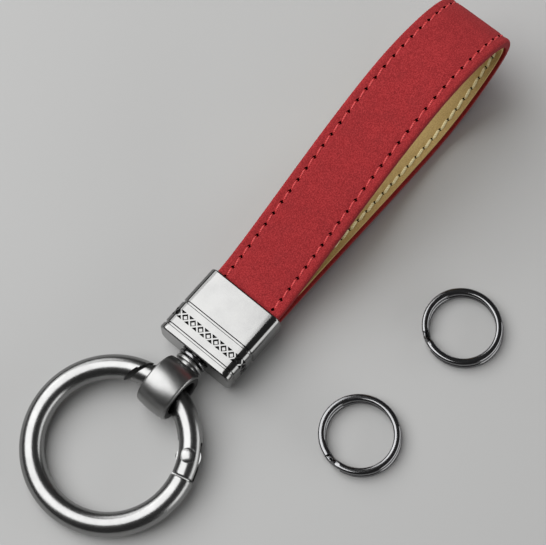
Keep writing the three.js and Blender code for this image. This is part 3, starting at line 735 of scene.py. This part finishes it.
def ferrule_skin():
    """The outside of the ferrule, with its engraved lines and its band of crosses, whose walls carry
    painted shade.
    """
    bm = bmesh.new()
    middle = Vector((AROUND / 2, FERRULE_LENGTH / 2, 0))
    sheet = Matrix.Translation(middle) @ Matrix.Diagonal((AROUND, FERRULE_LENGTH, 1, 1))
    bmesh.ops.create_grid(bm, x_segments=1, y_segments=1, size=0.5, matrix=sheet)
    lines = (FRONT_GROOVES, BACK_GROOVES)
    band = sum(lines) / 2
    band_low, band_high = band - CROSS_BAND / 2, band + CROSS_BAND / 2
    slice_at(bm, [line + side * GROOVE_WIDTH / 2 for line in lines for side in (-1, 1)], (0, 1, 0))
    slice_at(bm, [band_low, band_high], (0, 1, 0))
    count = 2 * round(AROUND / CROSS_PITCH / 2)
    pitch = AROUND / count
    slice_at(bm, [pitch * number for number in range(1, count)], (1, 0, 0))
    bmesh.ops.poke(bm, faces=faces_between(bm, band_low, band_high))
    uprights = [
        e for e in bm.edges
        if not e.is_boundary and abs(e.verts[0].co.x - e.verts[1].co.x) < 1e-6
        and abs(abs(e.verts[0].co.y - e.verts[1].co.y) - CROSS_BAND) < 1e-6
    ]
    bmesh.ops.dissolve_edges(bm, edges=uprights, use_verts=False)
    recesses = faces_between(bm, band_low, band_high)
    bmesh.ops.inset_individual(bm, faces=recesses, thickness=CROSS_ARM / 2, use_even_offset=True)
    walls = bmesh.ops.inset_individual(
        bm, faces=recesses, thickness=CROSS_DRAFT, depth=-CROSS_DEPTH, use_even_offset=True,
    )["faces"]
    # The walls of the crosses take painted shade
    for wall in walls:
        wall.material_index = 1
    for line in lines:
        floor = faces_between(bm, line - GROOVE_WIDTH / 2, line + GROOVE_WIDTH / 2)
        bmesh.ops.inset_region(
            bm, faces=floor, thickness=GROOVE_DRAFT, depth=-GROOVE_DEPTH, use_boundary=False,
            use_even_offset=True,
        )
    rim_turns = range(FERRULE_RIM_STEP, 90 + FERRULE_RIM_STEP, FERRULE_RIM_STEP)
    rims = [FERRULE_RIM * (1 - math.cos(math.radians(turn))) for turn in rim_turns]
    slice_at(bm, rims + [FERRULE_LENGTH - rim for rim in rims], (0, 1, 0))
    corners = (FLAT_TOP / 2, FLAT_TOP / 2 + CORNER_ARC + FLAT_SIDE)
    shares = [step / FERRULE_CORNER_STEPS for step in range(FERRULE_CORNER_STEPS + 1)]
    turns = [start + CORNER_ARC * share for start in corners for share in shares]
    slice_at(bm, [AROUND / 2 + side * turn for side in (-1, 1) for turn in turns], (1, 0, 0))
    for vertex in bm.verts:
        vertex.co = wrapped(vertex.co)
    close_up(bm, SKIN_MERGE_DISTANCE)
    bmesh.ops.holes_fill(bm, edges=[e for e in bm.edges if e.is_boundary], sides=0)
    bmesh.ops.recalc_face_normals(bm, faces=bm.faces[:])
    return bm


ALONG_X = Matrix(((0, 0, 1, 0), (1, 0, 0, 0), (0, 1, 0, 0), (0, 0, 0, 1)))


def ferrule_sleeve():
    """The engraved ferrule, with its socket and the holes for the swivel and the pins."""
    sleeve = piece_of("ferrule_sleeve", ferrule_skin(), GUNMETAL, PAINTED_SHADE)
    socket = prism(*rounded_rectangle(SOCKET_WIDTH, SOCKET_HEIGHT, SOCKET_CORNER), FERRULE_LENGTH)
    move(socket, Matrix.Translation((FRONT_X + FERRULE_END_WALL, AXIS_Y, AXIS_Z)) @ ALONG_X)
    boolean(sleeve, piece_of("socket", socket), "DIFFERENCE")
    spigot_hole = round_bar(SPIGOT_RADIUS + SPIGOT_CLEARANCE, -FERRULE_END_WALL, 2 * FERRULE_END_WALL)
    move(spigot_hole, Matrix.Translation((FRONT_X, AXIS_Y, AXIS_Z)) @ ALONG_X)
    boolean(sleeve, piece_of("spigot_hole", spigot_hole), "DIFFERENCE")
    for pin in ("strap_pin_1", "strap_pin_2"):
        low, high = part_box(pin)
        hole = round_bar(PIN_RADIUS, low.z - MM, high.z)
        move(hole, Matrix.Translation(((low.x + high.x) / 2, (low.y + high.y) / 2, 0)))
        boolean(sleeve, piece_of("pin_hole", hole), "DIFFERENCE")
    smooth(sleeve, SLEEVE_SHARP)
    flatness = sleeve.modifiers.new("flat_sides", "WEIGHTED_NORMAL")
    flatness.keep_sharp = True
    return sleeve


# Swivel: turned on the ferrule's axis, with the eye's bore across it

ON_SWIVEL = Matrix.Translation((FRONT_X, AXIS_Y, AXIS_Z)) @ Matrix.Rotation(math.pi / 2, 4, "Y")
WASHER_AT = -SWIVEL_PLAY - WASHER_THICKNESS
FLANGE_AT = WASHER_AT - SWIVEL_PLAY - FLANGE_THICKNESS
EYE_AT = FLANGE_AT - NECK_LENGTH - EYE_RADIUS


def washer_disc():
    """The loose disc between the ferrule and the eye's flange."""
    bore = SPIGOT_RADIUS + SPIGOT_CLEARANCE / 2
    top = WASHER_AT + WASHER_THICKNESS
    outline = [(bore, WASHER_AT), (WASHER_RADIUS, WASHER_AT), (WASHER_RADIUS, top), (bore, top)]
    bm = turned(outline, {1: DISC_ROUND, 2: DISC_ROUND})
    move(bm, ON_SWIVEL)
    # The washer's darker black nickel is painted shade under the ferrule's edge
    return smooth(piece_of("washer_disc", bm, BLACK_NICKEL_AND_SHADE), TURNED_SHARP)


def barrel_eye():
    """The barrel with painted shade in its bore and on its end faces, and the stem that turns in the
    ferrule.
    """
    half = EYE_LENGTH / 2
    rise = EYE_RADIUS - EYE_END_RADIUS
    shares = [step / EYE_BULGE_STEPS for step in range(-EYE_BULGE_STEPS, EYE_BULGE_STEPS + 1)]
    bulge = [(EYE_END_RADIUS + rise * (1 - share ** 2), half * share) for share in shares]
    outline = [(EYE_BORE, half), (EYE_BORE, -half), *bulge]
    rims = (0, 1, 2, len(outline) - 1)
    bm = turned(outline, {corner: EYE_RIM for corner in rims}, EYE_STEPS)
    # The bore and the end faces take painted shade
    for face in bm.faces:
        if face.calc_center_median().xy.length < EYE_END_RADIUS - EYE_RIM:
            face.material_index = 1
    move(bm, Matrix.Translation((FRONT_X + EYE_AT, AXIS_Y, AXIS_Z)) @ Matrix.Rotation(math.pi / 2, 4, "X"))
    eye = piece_of("barrel_eye", bm, SATIN_GUNMETAL, PAINTED_SHADE)
    root = EYE_AT + (EYE_BORE + EYE_RADIUS) / 2
    flange_top = FLANGE_AT + FLANGE_THICKNESS
    peen_top = PEEN_X + PEEN_THICKNESS
    stem = turned([
        (0, root), (NECK_RADIUS, root), (NECK_RADIUS, FLANGE_AT),
        (FLANGE_RADIUS, FLANGE_AT), (FLANGE_RADIUS, flange_top),
        (SPIGOT_RADIUS, flange_top), (SPIGOT_RADIUS, PEEN_X),
        (PEEN_RADIUS, PEEN_X), (PEEN_RADIUS, peen_top), (0, peen_top),
    ], {3: DISC_ROUND, 4: DISC_ROUND, 8: DISC_ROUND})
    move(stem, ON_SWIVEL)
    boolean(eye, piece_of("stem", stem, SATIN_GUNMETAL), "UNION")
    return smooth(eye, EYE_SHARP)


# Spring ring: made about its own centre with the eye on +X, and then hung in the eye

WIRE_HEIGHT = AXIS_Z - RING_SAG
RING_TIP = math.asin((WIRE_HEIGHT - WIRE_RADIUS) / (RING_RADIUS * (1 + math.cos(RING_YAW))))
HUNG = (
    Matrix.Translation((FRONT_X + EYE_AT, AXIS_Y, WIRE_HEIGHT)) @ Matrix.Rotation(-RING_TIP, 4, "Y")
    @ Matrix.Rotation(RING_YAW, 4, "Z") @ Matrix.Translation((-RING_RADIUS, 0, 0))
)
TAIL_ANGLE = PIVOT_ANGLE - TAIL_LENGTH / RING_RADIUS
SHOULDER_ANGLE = TAIL_ANGLE - SEAM_GAP / RING_RADIUS
PIVOT = Vector((RING_RADIUS * math.cos(PIVOT_ANGLE), RING_RADIUS * math.sin(PIVOT_ANGLE), 0))
AT_PIVOT = Matrix.Translation(PIVOT) @ Matrix.Rotation(PIVOT_ANGLE, 4, "Z")
TALL = 2 * WIRE_RADIUS


def wire_arc(name, start, end):
    """A stretch of round wire between two angles about the ring's centre."""
    bm = bmesh.new()
    section = (
        Matrix.Rotation(start, 4, "Z") @ Matrix.Translation((RING_RADIUS, 0, 0))
        @ Matrix.Rotation(math.pi / 2, 4, "X")
    )
    bmesh.ops.create_circle(bm, cap_ends=True, segments=WIRE_SIDES, radius=WIRE_RADIUS, matrix=section)
    bmesh.ops.spin(
        bm, geom=bm.verts[:] + bm.edges[:] + bm.faces[:], cent=(0, 0, 0), axis=(0, 0, 1),
        angle=end - start, steps=round((end - start) / WIRE_STEP),
    )
    close_up(bm)
    ends = [e for f in bm.faces if len(f.verts) == WIRE_SIDES for e in f.edges]
    bmesh.ops.bevel(
        bm, geom=ends, offset=SEAM_ROUND, segments=SEAM_STEPS, profile=0.5, affect="EDGES", material=-1,
    )
    return piece_of(name, bm, RING_METAL)


def swing_column(radius, centre=PIVOT):
    """A column across the ring, cut off at the ring's middle so that it meets only the latch. Its painted
    shade passes to the faces that it cuts.
    """
    bm = round_bar(radius, -TALL, TALL, COLUMN_SIDES)
    move(bm, Matrix.Translation(centre))
    bmesh.ops.bisect_plane(
        bm, geom=bm.verts[:] + bm.edges[:] + bm.faces[:], plane_co=(0, LATCH_FROM_Y, 0), plane_no=(0, 1, 0),
        clear_inner=True,
    )
    bmesh.ops.holes_fill(bm, edges=[e for e in bm.edges if e.is_boundary], sides=0)
    bmesh.ops.recalc_face_normals(bm, faces=bm.faces[:])
    return piece_of("swing_column", bm, PAINTED_SHADE)


def at_pivot(name, bm, turn=0.0):
    """A shape at the hinge, with y along the wire there."""
    move(bm, AT_PIVOT @ Matrix.Rotation(turn, 4, "Z"))
    return piece_of(name, bm, RING_METAL)


def hang(piece, sharp_angle):
    """Moves a finished piece of the ring to its place in the eye."""
    piece.data.transform(HUNG)
    return smooth(piece, sharp_angle)


def ring_arc():
    """The long arc, with its half of the latch and the tongue of the hinge."""
    arc = wire_arc("ring_arc", 0, FULL_TURN + SHOULDER_ANGLE)
    # The latch's cuts take painted shade from the columns
    step = boolean(swing_column(STEP_SWING), swing_column(LIP_ROOT_RADIUS, Vector()), "INTERSECT")
    boolean(arc, step, "DIFFERENCE")
    boolean(arc, swing_column(NOSE_SWING + LATCH_GAP), "DIFFERENCE")
    thick = TONGUE_THICKNESS / 2
    length = TAIL_LENGTH + SEAM_GAP + TONGUE_ROOT
    tongue = at_pivot("tongue", round_bar(TONGUE_RADIUS, -thick, thick))
    bar = block((-TONGUE_BAR / 2, -length, -thick), (TONGUE_BAR / 2, 0, thick))
    boolean(tongue, at_pivot("bar", bar, -length / 2 / RING_RADIUS), "UNION")
    ear = bmesh.new()
    bmesh.ops.create_uvsphere(
        ear, u_segments=24, v_segments=12, radius=EAR_RADIUS,
        matrix=Matrix.Translation((-EAR_REACH, 0, 0)),
    )
    boolean(tongue, at_pivot("ear", ear), "UNION")
    boolean(arc, tongue, "UNION")
    pivot_hole = round_bar(RIVET_RADIUS + TONGUE_BORE_CLEARANCE, -TALL, TALL)
    boolean(arc, at_pivot("pivot_hole", pivot_hole), "DIFFERENCE")
    return hang(arc, RING_SHARP)


def gate_arc():
    """The short arc, with the fork of the hinge, the rivet's seats and the bore for the spring."""
    gate = wire_arc("gate_arc", TAIL_ANGLE, LATCH_END)
    nose = round_bar(NOSE_SWING, -TALL, TALL, COLUMN_SIDES)
    boolean(gate, at_pivot("nose", nose), "INTERSECT")
    slot = block((-TALL, -3 * TAIL_LENGTH, -SLOT_THICKNESS / 2), (TALL, SLOT_REACH, SLOT_THICKNESS / 2))
    boolean(gate, at_pivot("slot", slot), "DIFFERENCE")
    pivot_hole = round_bar(RIVET_RADIUS + FORK_BORE_CLEARANCE, -TALL, TALL)
    boolean(gate, at_pivot("pivot_hole", pivot_hole), "DIFFERENCE")
    floor = RIVET_HEAD_SEAT - RIVET_SEAT_GAP
    for low, high in ((floor, TALL), (-TALL, -floor)):
        seat = round_bar(RIVET_HEAD_RADIUS + RIVET_SEAT_GAP, low, high)
        boolean(gate, at_pivot("seat", seat), "DIFFERENCE")
    spring_bore = round_bar(SPRING_BORE, 0, SPRING_BORE_END)
    move(spring_bore, Matrix.Rotation(-math.pi / 2, 4, "X"))
    boolean(gate, at_pivot("spring_bore", spring_bore, SPRING_TILT), "DIFFERENCE")
    return hang(gate, RING_SHARP)


def hinge_rivet():
    """The rivet, with a low dome on both its heads."""
    ball = (RIVET_HEAD_RADIUS ** 2 + RIVET_DOME ** 2) / (2 * RIVET_DOME)
    top = RIVET_DOME_SEAT + RIVET_DOME
    widest = math.asin(RIVET_HEAD_RADIUS / ball)
    turns = [widest * step / DOME_STEPS for step in range(DOME_STEPS, 0, -1)]
    dome = [(ball * math.sin(turn), top - ball * (1 - math.cos(turn))) for turn in turns]
    upper = [(RIVET_RADIUS, RIVET_HEAD_SEAT), (RIVET_HEAD_RADIUS, RIVET_HEAD_SEAT), *dome, (0, top)]
    lower = [(radius, -height) for radius, height in reversed(upper)]
    return hang(at_pivot("hinge_rivet", turned(lower + upper, {}, RIVET_STEPS)), TURNED_SHARP)


# Split rings

def split_ring(name, node):
    """An upper and a lower flat turn of wire, joined by a short fall."""
    low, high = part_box(node)
    fall = SPLIT_WIRE_HEIGHT + SPLIT_TURN_GAP
    flat_turn = FULL_TURN - SPLIT_FALL - SPLIT_END_GAP
    bm = bmesh.new()
    outline_face(bm, *rounded_rectangle(SPLIT_WIRE_WIDTH, SPLIT_WIRE_HEIGHT, SPLIT_WIRE_EDGE))
    wire_start = Vector((SPLIT_RADIUS - SPLIT_WIRE_WIDTH / 2, 0, fall + SPLIT_WIRE_HEIGHT / 2))
    move(bm, Matrix.Translation(wire_start) @ Matrix.Rotation(math.pi / 2, 4, "X"))
    move(bm, Matrix.Rotation(SPLIT_ENDS[node], 4, "Z"))
    geometry = bm.verts[:] + bm.edges[:] + bm.faces[:]
    level = (flat_turn, SPLIT_TURN_STEPS, 0)
    ease = (SPLIT_FALL / 4, SPLIT_EASE_STEPS, SPLIT_EASE)
    slope = (SPLIT_FALL / 2, SPLIT_FALL_STEPS, 1 - 2 * SPLIT_EASE)
    for turn, steps, share in (level, ease, slope, ease, level):
        geometry = bmesh.ops.spin(
            bm, geom=geometry, cent=(0, 0, 0), axis=(0, 0, -1), dvec=(0, 0, -fall * share / steps),
            angle=turn, steps=steps,
        )["geom_last"]
    close_up(bm)
    centre = (low + high) / 2
    lean = Matrix.Shear("XY", 4, SPLIT_LEAN) @ Matrix.Translation((0, 0, -fall))
    move(bm, Matrix.Translation((centre.x, centre.y, low.z + fall)) @ lean)
    return smooth(piece_of(name, bm, BLACK_NICKEL_AND_SHADE), TURNED_SHARP)


# The keychain

fit(leather_loop(), "strap_assembly", "red_leather", "strap_leather")
fit(lining_strip(), "strap_assembly", "tan_lining", "strap_lining")
red_stitching = stitching(
    "red_stitching", LEATHER + GLUE_LINE / 2, 1, THREAD_RADIUS, THREAD_TOP, RED_THREAD,
)
fit(red_stitching, "strap_assembly", "red_leather")
tan_stitching = stitching(
    "tan_stitching", -LINING - GLUE_LINE / 2, -1, LINING_THREAD_RADIUS, LINING_THREAD_TOP, TAN_THREAD,
)
fit(tan_stitching, "strap_assembly", "tan_lining")
fit(ferrule_sleeve(), "strap_assembly", "gunmetal", "ferrule")
fit(washer_disc(), "strap_assembly", "gunmetal", "swivel_washer")
fit(barrel_eye(), "eye_assembly", "satin_gunmetal", "swivel_eye")
fit(ring_arc(), "ring", "gunmetal", "ring_body")
fit(gate_arc(), "gate_assembly", "gunmetal", "gate")
fit(hinge_rivet(), "gate_assembly", "gunmetal", "gate_rivet")
fit(split_ring("split_ring_lower", "split_ring_1"), "loose_ring_1", "black_nickel", "split_ring_1")
fit(split_ring("split_ring_upper", "split_ring_2"), "loose_ring_2", "black_nickel", "split_ring_2")

for node in ("strap_pin_1", "strap_pin_2", "swivel_retainer", "gate_plunger", "gate_spring"):
    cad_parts[node].data.materials.clear()
    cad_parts[node].data.materials.append(PLAIN_STEEL)


# Studio

def studio_floor():
    """A plain pale floor."""
    bm = bmesh.new()
    bmesh.ops.create_grid(bm, x_segments=1, y_segments=1, size=FLOOR_REACH)
    material, _, _, shader = finish_of("pale_floor")
    shader.inputs["Base Color"].default_value = FLOOR_COLOUR
    shader.inputs["Roughness"].default_value = FLOOR_ROUGHNESS
    floor = piece_of("studio_floor", bm, material)


def softbox(name, direction, level, distance, width, height, radiance):
    """A soft rectangular light on the aim, its width along the level direction."""
    light = bpy.data.lights.new(name, "AREA")
    light.shape = "RECTANGLE"
    light.size = width
    light.size_y = height
    light.energy = radiance * math.pi * width * height
    lamp = bpy.data.objects.new(name, light)
    back = Vector(direction).normalized()
    upright = back.cross(Vector(level)).normalized()
    across = upright.cross(back)
    lamp.location = CAMERA_AIM + back * distance
    lamp.rotation_mode = "QUATERNION"
    lamp.rotation_quaternion = Matrix((across, upright, back)).transposed().to_quaternion()
    bpy.context.scene.collection.objects.link(lamp)


studio_floor()
softbox(
    "key_softbox", direction=(-0.206, 0.442, 0.873), level=(0.645, -0.765, 0), distance=0.84,
    width=0.93, height=0.9, radiance=3.7,
)
softbox(
    "side_softbox", direction=(0.41, -0.88, 0.23), level=(0.906, 0.423, 0), distance=0.9,
    width=1.26, height=0.42, radiance=2.4,
)
softbox(
    "low_softbox", direction=(0.26, 0.8, 0.54), level=(0.951, -0.309, 0), distance=0.9,
    width=0.6, height=0.4, radiance=2.2,
)

world = bpy.data.worlds.new("studio")
world.use_nodes = True
world.node_tree.nodes["Background"].inputs["Color"].default_value = SURROUNDINGS
bpy.context.scene.world = world
bpy.context.scene.view_settings.view_transform = "Standard"

camera_data = bpy.data.cameras.new("photo_camera")
camera_data.lens = CAMERA_LENS
camera_data.clip_start = CAMERA_NEAR
camera = bpy.data.objects.new("photo_camera", camera_data)
camera.location = CAMERA_PLACE
camera.rotation_mode = "QUATERNION"
camera.rotation_quaternion = (CAMERA_AIM - CAMERA_PLACE).to_track_quat("-Z", "Y")
bpy.context.scene.collection.objects.link(camera)
bpy.context.scene.camera = camera
